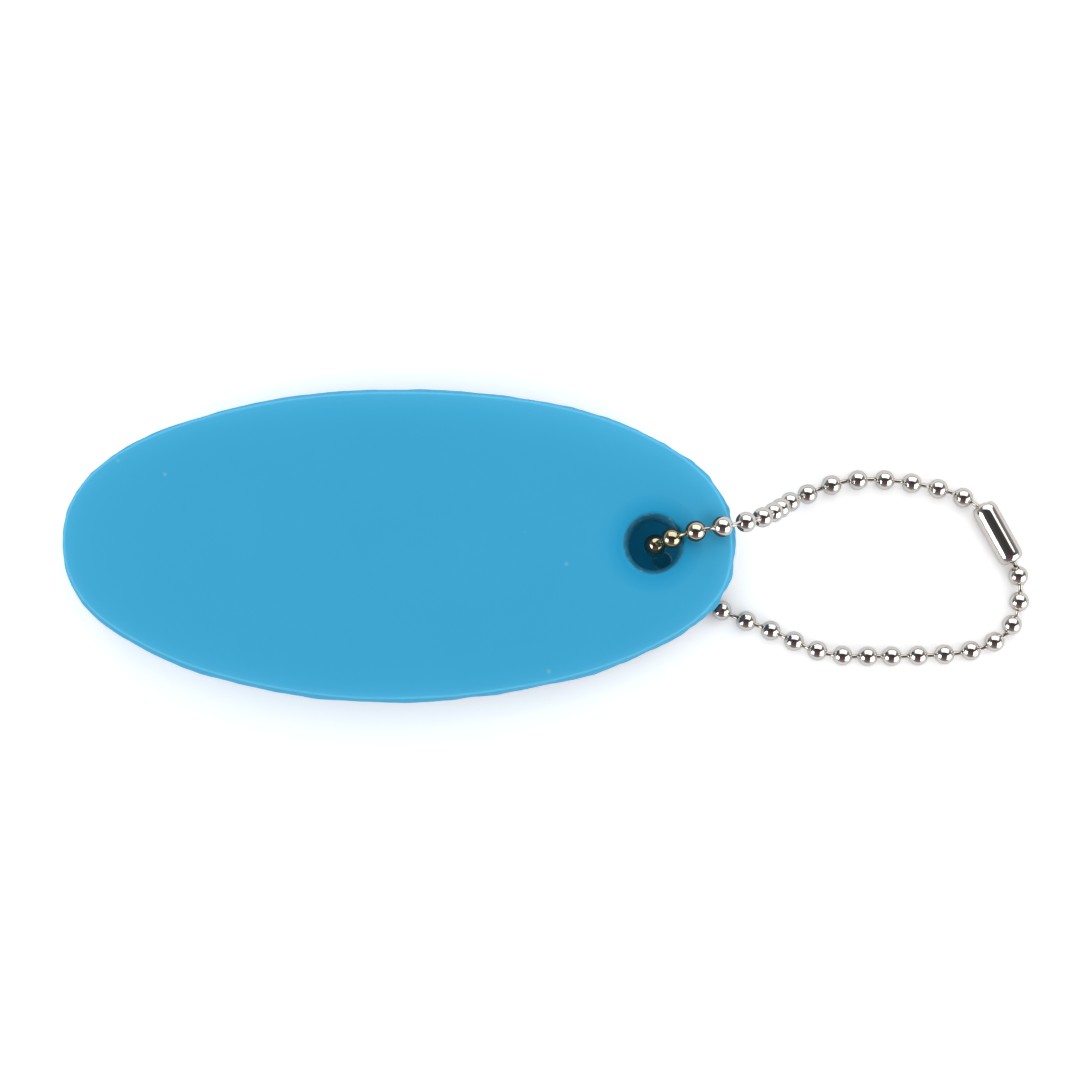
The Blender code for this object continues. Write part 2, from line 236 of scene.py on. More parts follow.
def room_world():
    """The room as the lamps' fill and the mirrors see it; to the camera it is plain white."""
    room = bpy.data.worlds.new("room")
    add, join = new_nodes(room)
    heading = add("ShaderNodeTexCoord")
    split = add("ShaderNodeSeparateXYZ")
    join(heading.outputs["Generated"], split.inputs["Vector"])
    height = add("ShaderNodeValToRGB")
    while len(height.color_ramp.elements) < len(ROOM_TONES):
        height.color_ramp.elements.new(0.5)
    for stop, (share, level) in zip(height.color_ramp.elements, ROOM_TONES):
        stop.position = share
        stop.color = (level, level, level, 1.0)
    join(split.outputs["Z"], height.inputs["Fac"])
    from_red = add("ShaderNodeVectorMath", {1: RED_HEADING}, operation="DOT_PRODUCT")
    join(heading.outputs["Generated"], from_red.inputs[0])
    red_patch = add(
        "ShaderNodeMapRange",
        {"From Min": RED_FROM, "From Max": RED_FULL},
        interpolation_type="SMOOTHSTEP",
    )
    join(from_red.outputs["Value"], red_patch.inputs["Value"])
    room_tone = add("ShaderNodeMix", {"B": RED_TONE}, data_type="RGBA")
    join(red_patch.outputs["Result"], room_tone.inputs["Factor"])
    join(height.outputs["Color"], room_tone.inputs["A"])
    ray = add("ShaderNodeLightPath")
    seen_tone = add("ShaderNodeMix", {"B": WHITE}, data_type="RGBA")
    join(ray.outputs["Is Camera Ray"], seen_tone.inputs["Factor"])
    join(room_tone.outputs["Result"], seen_tone.inputs["A"])
    glow = add("ShaderNodeBackground")
    join(seen_tone.outputs["Result"], glow.inputs["Color"])
    out = add("ShaderNodeOutputWorld")
    join(glow.outputs["Background"], out.inputs["Surface"])
    return room


bpy.context.scene.world = room_world()

PANELS_AIM = Vector((0.02, 0.0, 0.0))
PANEL_DISTANCE = 0.80


def panel(name, heading_deg, height_deg, size, watts, roll_deg=0.0):
    """A soft panel that faces the chain from a heading and a height above the table."""
    lamp = bpy.data.lights.new(name, "AREA")
    lamp.shape = "RECTANGLE"
    lamp.size, lamp.size_y = size
    lamp.energy = watts
    item = bpy.data.objects.new(name, lamp)
    bpy.context.scene.collection.objects.link(item)
    a, h = np.radians(heading_deg), np.radians(height_deg)
    away = Vector((float(np.cos(a) * np.cos(h)), float(np.sin(a) * np.cos(h)), float(np.sin(h))))
    facing = away.to_track_quat("Z", "Y").to_matrix().to_4x4()
    turn = Matrix.Rotation(float(np.radians(roll_deg)), 4, "Z")
    item.matrix_world = Matrix.Translation(PANELS_AIM + away * PANEL_DISTANCE) @ facing @ turn
    return item


panel("panel_back", 80.0, 43.0, size=(1.36, 0.80), watts=5.6)
panel("panel_left", 204.0, 26.0, size=(0.48, 0.48), watts=2.7, roll_deg=45.0)
panel("panel_right", -33.0, 24.0, size=(0.74, 0.74), watts=3.8, roll_deg=45.0)

# Float
# One pad of closed-cell foam, die-cut to an oval with a round hole, then dipped in soft blue
# vinyl. Both faces are flat with a crisp round edge; the cut side between them is uneven.

FLOAT_LENGTH = 105.3 * MM
FLOAT_WIDTH = 48.9 * MM
FLOAT_THICKNESS = 15.0 * MM
OVAL_POWER = 2.12
FACE_EDGE_RADIUS = 0.5 * MM
HOLE_DIAMETER = 9.0 * MM
HOLE_INSET = 12.7 * MM
HOLE_EDGE_RADIUS = 0.7 * MM
HOLE_NARROWING = 0.7 * MM
HOLE_X = FLOAT_LENGTH / 2 - HOLE_INSET

# Where the float lies, as in the CAD: its middle, and its tilt from the left end on the table
# to the right end propped on the chain that runs under it.
FLOAT_MIDDLE = Vector((-0.023754, 0.0, 0.009264))
FLOAT_TILT = 0.0346344

# Points of the grid: round the hole, up its wall, over an edge, across a face, down the side.
# The oval is sampled more finely first, to find its points at even headings.
OVAL_SAMPLES = 20001
FLOAT_AROUND = 540
WALL_STEPS = 25
EDGE_STEPS = 9
FACE_STEPS = 38
SIDE_STEPS = 33

# The cut side's roundness, and how fast its unevenness fades towards the faces.
SIDE_POWER = 2.2
STRAY_POWER = 0.6

# How far the cut outline strays from the oval, picked from readings taken on the photo: degrees
# round it, and millimetres out.
CUT_STRAYS = (
    (0, 0.05),
    (6, 0.20),
    (9, 0.00),
    (12, 0.30),
    (20, 0.20),
    (24, 0.45),
    (27, 0.30),
    (30, 0.45),
    (34, 0.15),
    (48, 0.20),
    (60, 0.20),
    (76, 0.05),
    (90, 0.08),
    (97, 0.14),
    (103, 0.12),
    (107, 0.00),
    (124, -0.08),
    (136, 0.24),
    (153, 0.50),
    (166, 0.18),
    (180, -0.28),
    (192, -0.30),
    (206, -0.15),
    (215, -0.50),
    (222, -0.65),
    (233, -0.35),
    (246, -0.48),
    (258, -0.05),
    (274, 0.00),
    (282, -0.50),
    (286, -0.30),
    (293, -0.66),
    (302, -0.42),
    (310, -0.50),
    (317, -0.58),
    (322, -0.18),
    (330, -0.12),
    (340, 0.50),
    (343, 0.20),
    (349, 0.45),
    (354, -0.05),
)

# How far the crisp edge of the two faces stands in from the outline, picked likewise.
FACE_EDGE_INSETS = (
    (0, 0.70),
    (30, 0.62),
    (60, 0.68),
    (75, 0.85),
    (100, 0.95),
    (125, 0.90),
    (150, 1.00),
    (185, 1.05),
    (215, 1.00),
    (232, 0.85),
    (246, 0.70),
    (262, 0.52),
    (280, 0.40),
    (305, 0.32),
    (330, 0.35),
    (350, 0.50),
)

# Degrees to each side over which these lists are blurred: the outline near the faces, the
# outline at half height, and the inset.
OUTLINE_BLUR = 9.0
CUT_BLUR = 0.5
INSET_BLUR = 8.0

# The cut side's ripple: each wave's size in millimetres, its count round the float, where it
# starts, and how much it leans with the height.
RIPPLES = (
    (0.045, 13, 1.3, 0.9),
    (0.035, 31, 0.4, -1.6),
    (0.030, 53, 2.1, 2.3),
    (0.020, 97, 0.7, -3.1),
)

# Rings on a face, in millimetres: out from the hole's lip, and in from the face's edge.
HALO_REACHES = (0.35, 0.8, 1.4, 2.2)
BRIM_INSETS = (2.0, 1.1, 0.5, 0.22, 0.1)

# How strongly the masks show, ring by ring: the wall's painted shade over the lip, the dull halo
# round the hole, and the painted highlight along the face's brim and over its edge.
LIP_SHADE = (1.0, 1.0, 0.9, 0.6, 0.3, 0.1, 0.0, 0.0, 0.0)
HALO_FADE = (0.9, 0.7, 0.45, 0.2)
BRIM_HIGHLIGHT = (0.02, 0.07, 0.13, 0.17, 0.20)
EDGE_HIGHLIGHT = (0.25, 0.45, 0.8, 1.0, 1.0, 0.9, 0.6, 0.3, 0.1)
CUT_ON_EDGE = np.linspace(0.0, 0.9, EDGE_STEPS)
# Painted highlight: the skin is painted lighter near the outer rim, fading inward, most on the
# side towards the back lamp.
RIM_LIGHT_REACH = 3.5 * MM
RIM_LIGHT_MEAN = 0.55
RIM_LIGHT_SWING = 0.45


def oval(turn):
    """Points of the oval in its own plane: a superellipse, |x/a|^p + |y/b|^p = 1."""
    c, s = np.cos(turn), np.sin(turn)
    x = FLOAT_LENGTH / 2 * np.sign(c) * np.abs(c) ** (2 / OVAL_POWER)
    y = FLOAT_WIDTH / 2 * np.sign(s) * np.abs(s) ** (2 / OVAL_POWER)
    return np.stack([x, y], axis=-1)


def oval_seen_from_hole(count):
    """The oval's points at even headings from the hole's centre, with outward normals.

    The oval is sampled finely, its headings from the hole are made to rise steadily, and the
    even headings are looked up between them.
    """
    turn = np.linspace(-np.pi, np.pi, OVAL_SAMPLES)
    points = oval(turn)
    heading = np.unwrap(np.arctan2(points[:, 1], points[:, 0] - HOLE_X))
    wanted = np.linspace(-np.pi, np.pi, count, endpoint=False)
    at = np.interp(wanted, heading, turn)
    step = 1e-4
    along = oval(at + step) - oval(at - step)
    along /= np.linalg.norm(along, axis=1, keepdims=True)
    outward = np.stack([along[:, 1], -along[:, 0]], axis=-1)
    return wanted, at, oval(at), outward


def listed(places, turn, blur):
    """Values between the listed places, each the mean over the blur, in degrees, to each side."""
    at, out = np.array(places).T
    degrees = np.degrees(turn) % 360.0
    shifts = np.linspace(-blur, blur, 15)
    runs = [np.interp(degrees + shift, at, out, period=360.0) for shift in shifts]
    return np.mean(runs, axis=0)[:, None] * MM


def side_ripple(turn, height):
    """Small unevenness of the cut side: a sum of sine waves that lean with the height."""
    turn = turn[:, None]
    waves = [
        size * np.sin(turn * count + start + lean * height) for size, count, start, lean in RIPPLES
    ]
    return sum(waves) * MM


def quarter(start, end, steps):
    """Cosines and sines of even turns from one angle to another, in degrees."""
    turn = np.linspace(np.radians(start), np.radians(end), steps)
    return np.cos(turn), np.sin(turn)


def float_surface():
    """The float as one closed grid: heading round the hole by distance along its section.

    The section runs up the hole's wall, over its lip, out across the upper face, over the
    round edge, down the side, and back along the underside. On the faces a point is a blend
    of the hole's circle and the face edge, (1 - t) * circle + t * edge.
    """
    heading, turn, rim, outward = oval_seen_from_hole(FLOAT_AROUND)
    circle = np.stack([np.cos(heading), np.sin(heading)], axis=-1)
    centre = np.array([HOLE_X, 0.0])
    half = FLOAT_THICKNESS / 2
    radius = HOLE_DIAMETER / 2

    def round_hole(radii):
        """Circles round the hole's axis, one for each radius."""
        return centre + circle[:, None] * radii[None, :, None]

    def level(height, rings):
        """The given heights for every heading of a stretch of rings."""
        return np.broadcast_to(height, rings.shape[:2])

    up = np.linspace(-1.0, 1.0, WALL_STEPS)[1:-1]
    wall = round_hole(radius - HOLE_NARROWING * (1 - up**2))
    wall_z = level(up * (half - HOLE_EDGE_RADIUS), wall)

    c, s = quarter(180.0, 90.0, EDGE_STEPS)
    lip_r = radius + HOLE_EDGE_RADIUS * (1 + c)
    lip = round_hole(lip_r)
    lip_z = level(half - HOLE_EDGE_RADIUS + HOLE_EDGE_RADIUS * s, lip)

    smooth = listed(CUT_STRAYS, turn, OUTLINE_BLUR)
    sharp = listed(CUT_STRAYS, turn, CUT_BLUR)
    edge_inset = listed(FACE_EDGE_INSETS, turn, INSET_BLUR)

    def ring_at(inset):
        """Rings drawn in from the face edge's outermost line by one inset after another."""
        return rim[:, None] + outward[:, None] * (smooth - edge_inset - inset)[:, :, None]

    halo = round_hole(lip_r[-1] + np.array(HALO_REACHES) * MM)
    brim = ring_at(FACE_EDGE_RADIUS + np.array(BRIM_INSETS)[None] * MM)
    t = np.linspace(0.0, 1.0, FACE_STEPS)[1:-1]
    face = halo[:, -1:] * (1 - t)[None, :, None] + brim[:, :1] * t[None, :, None]
    top = np.concatenate([halo, face, brim], axis=1)
    top_z = level(half, top)

    c, s = quarter(90.0, 8.0, EDGE_STEPS)
    roll = ring_at(FACE_EDGE_RADIUS * (1 - c)[None])
    roll_z = level(half - FACE_EDGE_RADIUS * (1 - s), roll)

    down = np.linspace(1.0, -1.0, SIDE_STEPS)[1:-1]
    bulge = 1 - np.abs(down) ** SIDE_POWER
    side_out = smooth + (sharp - smooth + side_ripple(turn, down)) * bulge**STRAY_POWER
    side_out = side_out - edge_inset * (1 - bulge)
    side = rim[:, None] + outward[:, None] * side_out[:, :, None]
    side_z = level(down * (half - FACE_EDGE_RADIUS), side)

    upper = [(lip, lip_z), (top, top_z), (roll, roll_z)]
    under = [(rings[:, ::-1], -height[:, ::-1]) for rings, height in reversed(upper)]
    section = [(wall, wall_z)] + upper + [(side, side_z)] + under
    flat = np.concatenate([rings for rings, _ in section], axis=1)
    z = np.concatenate([height for _, height in section], axis=1)
    points = np.concatenate([flat, z[:, :, None]], axis=2)

    inner_top = np.zeros(top.shape[1])
    inner_top[: len(HALO_FADE)] = HALO_FADE
    outer_top = np.zeros(top.shape[1])
    outer_top[-len(BRIM_HIGHLIGHT) :] = BRIM_HIGHLIGHT
    shown = {
        "painted_hole_shade": {"wall": 1.0, "lip": LIP_SHADE},
        "hole_halo": {"lip": 1.0, "top": inner_top},
        "painted_edge_highlight": {"top": outer_top, "roll": EDGE_HIGHLIGHT},
        "cut_side": {"roll": CUT_ON_EDGE, "side": 1.0},
    }
    lengths = {
        "wall": wall.shape[1],
        "lip": lip.shape[1],
        "top": top.shape[1],
        "roll": roll.shape[1],
        "side": side.shape[1],
    }
    masks = {}
    for name, on in shown.items():
        run = {key: np.broadcast_to(on.get(key, 0.0), count) for key, count in lengths.items()}
        over = [run["lip"], run["top"], run["roll"]]
        back = [values[::-1] for values in reversed(over)]
        row = np.concatenate([run["wall"], *over, run["side"], *back])
        masks[name] = np.broadcast_to(row, points.shape[:2])
    # Painted highlight near the rim: full at the outline, fading inward, stronger towards +Y where
    # the back lamp stands.
    depth = np.linalg.norm(flat - rim[:, None], axis=2)
    lit = RIM_LIGHT_MEAN + RIM_LIGHT_SWING * np.sin(heading)
    masks["painted_rim_light"] = np.exp(-depth / RIM_LIGHT_REACH) * lit[:, None]
    return points, masks


def closed_grid(name, points):
    """A mesh from a grid that closes both ways round, as on a ring."""
    mesh = bpy.data.meshes.new(name)
    faces = grid_quads(*points.shape[:2])
    mesh.from_pydata(points.reshape(-1, 3).tolist(), [], faces.tolist())
    return mesh


def settle(mesh):
    """Closes seams and poles, turns the faces outwards and shades them smooth."""
    shape = bmesh.new()
    shape.from_mesh(mesh)
    bmesh.ops.remove_doubles(shape, verts=shape.verts, dist=1e-6)
    bmesh.ops.recalc_face_normals(shape, faces=shape.faces)
    shape.to_mesh(mesh)
    shape.free()
    mesh.shade_smooth()
    mesh.update()


SKIN_DEEP = (0.0485, 0.428, 0.732, 1.0)
SKIN_PALE = (0.0610, 0.464, 0.770, 1.0)
# Laid over the skin: a painted highlight near the rim, the dull halo round the hole, the cut
# side's colour, and a painted highlight along the face edges.
SKIN_OVERLAYS = (
    ("painted_rim_light", (0.078, 0.530, 0.870, 1.0)),
    ("hole_halo", (0.026, 0.385, 0.700, 1.0)),
    ("cut_side", (0.028, 0.465, 0.815, 1.0)),
    ("painted_edge_highlight", (0.145, 0.640, 0.970, 1.0)),
)
# Painted shade in the hole: a dark blue with lighter grain flecks, and a faint painted blue glow.
WALL_SHADE = (0.030, 0.205, 0.315, 1.0)
WALL_SHADE_FLECK = (0.170, 0.390, 0.500, 1.0)
WALL_PAINTED_GLOW = (0.003, 0.028, 0.052, 1.0)
DUST = (0.30, 0.62, 0.82, 1.0)
DUST_SHARE = 0.35
MIRRORED = (0.07, 0.085, 0.095, 1.0)
MIRRORED_SHARE = 0.95

# How many times each pattern on the skin repeats in a metre, roughly.
MOTTLE_SCALE = 38.0
DUST_SCALE = 130.0
PITTING_SCALE = 430.0
GRAIN_SCALE = 1500.0


def skin_material():
    """Soft sky-blue vinyl: faint mottling and grain, painted shade in the hole with a faint
    painted blue glow, painted highlights near the rim and along the face edges, and dust specks.
    The mirrors of the chain see it dark."""
    material = bpy.data.materials.new("float_skin_dipped")
    add, join = new_nodes(material)
    place = add("ShaderNodeTexCoord")
    shader = add(
        "ShaderNodeBsdfPrincipled", {"Specular IOR Level": 0.08, "Emission Color": WALL_PAINTED_GLOW}
    )
    out = add("ShaderNodeOutputMaterial")
    join(shader.outputs["BSDF"], out.inputs["Surface"])

    def noise(scale, detail):
        """Noise on the float's own coordinates."""
        texture = add("ShaderNodeTexNoise", {"Scale": scale, "Detail": detail})
        join(place.outputs["Object"], texture.inputs["Vector"])
        return texture.outputs["Fac"]

    def laid_over(under, share, paint):
        """The colour so far, with a paint laid over it by the given share."""
        over = add("ShaderNodeMix", {"B": paint}, data_type="RGBA")
        join(share, over.inputs["Factor"])
        join(under, over.inputs["A"])
        return over.outputs["Result"]

    tone = add("ShaderNodeMix", {"A": SKIN_DEEP, "B": SKIN_PALE}, data_type="RGBA")
    join(noise(MOTTLE_SCALE, 3.0), tone.inputs["Factor"])
    skin = tone.outputs["Result"]
    for mask_name, paint in SKIN_OVERLAYS:
        mask = add("ShaderNodeAttribute", attribute_name=mask_name)
        skin = laid_over(skin, mask.outputs["Fac"], paint)
    dust = add("ShaderNodeTexVoronoi", {"Scale": DUST_SCALE}, feature="F1")
    join(place.outputs["Object"], dust.inputs["Vector"])
    speck = add(
        "ShaderNodeMapRange", {"From Min": 0.055, "From Max": 0.025, "To Max": DUST_SHARE}
    )
    join(dust.outputs["Distance"], speck.inputs["Value"])
    skin = laid_over(skin, speck.outputs["Result"], DUST)

    grain = noise(GRAIN_SCALE, 5.0)
    flecks = add("ShaderNodeMapRange", {"From Min": 0.55, "From Max": 0.70})
    join(grain, flecks.inputs["Value"])
    # Painted shade: the hole's wall and lip are painted dark blue, flecked lighter by the grain.
    wall_shade_tone = add("ShaderNodeMix", {"A": WALL_SHADE, "B": WALL_SHADE_FLECK}, data_type="RGBA")
    join(flecks.outputs["Result"], wall_shade_tone.inputs["Factor"])
    inner = add("ShaderNodeAttribute", attribute_name="painted_hole_shade")
    colour = add("ShaderNodeMix", data_type="RGBA")
    join(inner.outputs["Fac"], colour.inputs["Factor"])
    join(skin, colour.inputs["A"])
    join(wall_shade_tone.outputs["Result"], colour.inputs["B"])
    # Painted glow: the hole's wall gives off a faint blue light of its own.
    join(inner.outputs["Fac"], shader.inputs["Emission Strength"])

    ray = add("ShaderNodeLightPath")
    in_mirrors = add("ShaderNodeMath", {1: MIRRORED_SHARE}, operation="MULTIPLY")
    join(ray.outputs["Is Glossy Ray"], in_mirrors.inputs[0])
    seen = laid_over(colour.outputs["Result"], in_mirrors.outputs["Value"], MIRRORED)
    join(seen, shader.inputs["Base Color"])

    rough = add("ShaderNodeMapRange", {"To Min": 0.40, "To Max": 0.52})
    join(grain, rough.inputs["Value"])
    join(rough.outputs["Result"], shader.inputs["Roughness"])
    cut = add("ShaderNodeAttribute", attribute_name="cut_side")
    pitting = add("ShaderNodeMath", operation="MULTIPLY")
    join(noise(PITTING_SCALE, 3.0), pitting.inputs[0])
    join(cut.outputs["Fac"], pitting.inputs[1])
    relief = add("ShaderNodeMath", {1: 6.0}, operation="MULTIPLY_ADD")
    join(pitting.outputs["Value"], relief.inputs[0])
    join(grain, relief.inputs[2])
    bump = add("ShaderNodeBump", {"Strength": 0.30, "Distance": 0.04 * MM})
    join(relief.outputs["Value"], bump.inputs["Height"])
    join(bump.outputs["Normal"], shader.inputs["Normal"])
    return material


float_points, float_masks = float_surface()
float_mesh = closed_grid("foam_float", float_points)
for name, values in float_masks.items():
    mask = float_mesh.attributes.new(name, "FLOAT", "POINT")
    mask.data.foreach_set("value", values.reshape(-1).astype(np.float32))
float_mesh.transform(
    Matrix.Translation(FLOAT_MIDDLE) @ Matrix.Rotation(-FLOAT_TILT, 4, "Y")
)
settle(float_mesh)
foam_float = bpy.data.objects.new("foam_float", float_mesh)
bpy.context.scene.collection.objects.link(foam_float)
float_mesh.materials.append(skin_material())
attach(foam_float, "float")
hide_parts("float_body")

# Chain
# Hollow balls pressed from nickel-plated strip, 3.2 mm across, with a hole at each end, and
# wire pins with a head inside each ball. Every ball swings on the pin before it.

BALL_RADIUS = 1.6 * MM
BALL_WALL = 0.2 * MM
BALL_HOLE_RADIUS = 0.46 * MM
BALL_LIP_RADIUS = 0.06 * MM
BALL_MIDWALL = BALL_RADIUS - BALL_WALL / 2
REST_GAP = 0.1 * MM
PIN_RADIUS = 0.35 * MM

# Points of the grids: round a ball and a pin, and along a ball's outer side, its inner side,
# a hole's rounded edge and a pin's head.
BALL_AROUND = 48
PIN_AROUND = 20
OUTER_STEPS = 33
INNER_STEPS = 17
LIP_STEPS = 7
HEAD_STEPS = 8

# A pin's heads, in its neighbour and in its own ball: radius, and depth behind the wall.
FREE_HEAD = (0.5 * MM, 1.05 * MM)
FIXED_HEAD = (0.65 * MM, 0.42 * MM)

# From the middle of the whole object to the hole's axis, as in the CAD.
CHAIN_SHIFT = 16.1718 * MM

CLASP_LENGTH = 10.3 * MM
CLASP_DIAMETER = 4.1 * MM
CLASP_MIDDLE = (55.2, 2.5)
CLASP_HEADING = np.radians(-61.5)
END_BALL_DEPTH = 1.4 * MM

# For each ball: x and y in millimetres from the hole's centre, and its height as the share of
# the fall from the float's face (0) to the table (1).
OVER_RUN = np.array(
    (
        (0.2, 0.0, 0.262),
        (2.5, 0.8, 0.085),
        (6.1, 1.8, 0.0),
        (10.2, 2.5, 0.0),
        (13.9, 3.3, 0.095),
        (16.7, 4.2, 0.258),
        (18.7, 5.2, 0.452),
        (20.1, 6.1, 0.650),
        (21.9, 7.3, 0.835),
        (24.9, 8.7, 0.965),
        (28.8, 10.2, 1.0),
        (33.0, 11.0, 1.0),
        (37.3, 11.0, 1.0),
        (41.6, 10.5, 1.0),
        (45.8, 9.6, 1.0),
        (49.8, 8.2, 1.0),
    )
)
UNDER_RUN = np.array(
    (
        (58.5, -4.3, 1.0),
        (58.6, -8.4, 1.0),
        (57.4, -12.1, 1.0),
        (54.6, -14.8, 1.0),
        (50.8, -16.2, 1.0),
        (46.6, -16.8, 1.0),
        (42.4, -17.0, 1.0),
        (38.2, -17.1, 1.0),
        (34.4, -17.1, 1.0),
        (30.4, -17.0, 1.0),
        (26.4, -16.2, 1.0),
        (22.7, -14.7, 1.0),
        (19.0, -13.0, 1.0),
        (15.1, -11.5, 1.0),
        (11.2, -9.8, 1.0),
        (7.6, -7.6, 1.0),
        (4.3, -4.8, 1.0),
        (1.7, -1.9, 0.905),
        (0.5, -0.2, 0.722),
        (0.1, 0.2, 0.492),
    )
)


def run_centres(run):
    """Centres of a run of balls: between just above the float's face and the table."""
    x, y = run[:, 0] * MM, run[:, 1] * MM
    face = (
        FLOAT_MIDDLE.z
        + (HOLE_X + x / np.cos(FLOAT_TILT)) * np.sin(FLOAT_TILT)
        + FLOAT_THICKNESS / 2 * np.cos(FLOAT_TILT)
        + BALL_RADIUS
        + REST_GAP
    )
    z = face + (BALL_RADIUS - face) * run[:, 2]
    return np.stack([x + CHAIN_SHIFT, y, z], axis=-1)


def unit(vectors):
    """Each vector divided by its length."""
    return vectors / np.linalg.norm(vectors, axis=-1, keepdims=True)


clasp_along = np.array([np.cos(CLASP_HEADING), np.sin(CLASP_HEADING), 0.0])
clasp_middle = np.array(
    [CLASP_MIDDLE[0] * MM + CHAIN_SHIFT, CLASP_MIDDLE[1] * MM, CLASP_DIAMETER / 2]
)
end_reach = clasp_along * (CLASP_LENGTH / 2 - END_BALL_DEPTH)
clasp_ends = [clasp_middle - end_reach, clasp_middle + end_reach]
centres = np.vstack([run_centres(OVER_RUN), *clasp_ends, run_centres(UNDER_RUN)])
HELD = len(OVER_RUN)
SETTLING_ROUNDS = 12


def hole_lines(places):
    """The line through each ball's two holes, settled over a few rounds so that the two pins
    leave it at like angles; the clasp's two balls face their outer pins."""
    line = unit(np.roll(places, -1, axis=0) - np.roll(places, 1, axis=0))
    for _ in range(SETTLING_ROUNDS):
        starts = places + line * BALL_MIDWALL
        ends = places - line * BALL_MIDWALL
        pins = unit(np.roll(ends, -1, axis=0) - starts)
        wanted = unit(np.roll(pins, 1, axis=0) + pins)
        wanted[HELD] = pins[HELD - 1]
        wanted[HELD + 1] = pins[HELD + 1]
        line = unit(line + wanted * 0.5)
    return line


lines = hole_lines(centres)


def turned_grid(profile, around):
    """A profile of (along, radius) carried round the X axis, as grid points."""
    turn = np.linspace(0.0, 2 * np.pi, around, endpoint=False)
    along = np.broadcast_to(profile[:, 0], (around, len(profile)))
    y = np.cos(turn)[:, None] * profile[:, 1]
    z = np.sin(turn)[:, None] * profile[:, 1]
    return np.stack([along, y, z], axis=-1)


def ball_profile():
    """A shell's section: outer arc, rounded hole edge, inner arc, rounded hole edge."""
    inner_radius = BALL_RADIUS - BALL_WALL
    outer_start = np.arcsin((BALL_HOLE_RADIUS + BALL_LIP_RADIUS) / BALL_RADIUS)
    inner_start = np.arcsin((BALL_HOLE_RADIUS + BALL_LIP_RADIUS) / inner_radius)
    outer = np.linspace(outer_start, np.pi - outer_start, OUTER_STEPS)
    inner = np.linspace(np.pi - inner_start, inner_start, INNER_STEPS)
    outer_arc = np.stack([np.cos(outer), np.sin(outer)], axis=-1) * BALL_RADIUS
    inner_arc = np.stack([np.cos(inner), np.sin(inner)], axis=-1) * inner_radius
    mouth = np.linspace(0.0, np.pi, LIP_STEPS)[1:-1]
    reach = (outer_arc[-1, 0] + inner_arc[0, 0]) / 2
    half_wall = abs(outer_arc[-1, 0] - inner_arc[0, 0]) / 2
    lip_radius = outer_arc[-1, 1] - np.sin(mouth) * BALL_LIP_RADIUS
    left_lip = np.stack([reach - np.cos(mouth) * half_wall, lip_radius], axis=-1)
    right_lip = left_lip[::-1] * [-1.0, 1.0]
    return np.vstack([outer_arc, left_lip, inner_arc, right_lip])


def ring_mesh(name, grids):
    """One mesh from several grids of (turn, along): each closes round the turn, and along the
    section too when its flag says so; an open one has its two ends on the axis."""
    verts, faces, first = [], [], 0
    for grid, closed in grids:
        rows, columns = grid.shape[:2]
        faces.append(grid_quads(rows, columns, wrap_columns=closed)[:, ::-1] + first)
        verts.append(grid.reshape(-1, 3))
        first += rows * columns
    mesh = bpy.data.meshes.new(name)
    mesh.from_pydata(np.vstack(verts).tolist(), [], np.vstack(faces).tolist())
    return mesh


def frame_along(origin, along):
    """A matrix at the origin with X along the given line and Y level."""
    x_axis = Vector(along).normalized()
    level = Vector((0.0, 0.0, 1.0)).cross(x_axis)
    y_axis = level.normalized() if level.length > 0.1 else Vector((0.0, 1.0, 0.0))
    z_axis = x_axis.cross(y_axis).normalized()
    y_axis = z_axis.cross(x_axis)
    turn = Matrix((x_axis, y_axis, z_axis)).transposed().to_4x4()
    return Matrix.Translation(Vector(origin)) @ turn


def placed(grid, matrix):
    """Grid points carried by a matrix."""
    m = np.array(matrix)
    return grid @ m[:3, :3].T + m[:3, 3]


def pin_profile(length, free=True):
    """A pin's section from its free head, or its cut end, to the head in its own ball."""

    def head(middle, size, towards):
        """A head's arc from its end to the wire, which leaves it towards +X or -X."""
        turn = np.linspace(np.pi, np.arcsin(PIN_RADIUS / size), HEAD_STEPS)
        return np.stack([middle + towards * np.cos(turn) * size, np.sin(turn) * size], axis=-1)

    size, depth = FIXED_HEAD
    fixed = head(length + depth, size, -1.0)[::-1]
    if free:
        size, depth = FREE_HEAD
        start = head(-depth, size, 1.0)
    else:
        start = np.array([[0.0, 0.0], [0.0, PIN_RADIUS * 0.85], [0.05 * MM, PIN_RADIUS]])
    return np.vstack([start, fixed])


def pin_grid(start, end, free=True):
    """A pin from a point in its neighbour's wall to a point in its own ball's wall."""
    profile = pin_profile(float(np.linalg.norm(end - start)), free)
    return placed(turned_grid(profile, PIN_AROUND), frame_along(start, end - start))


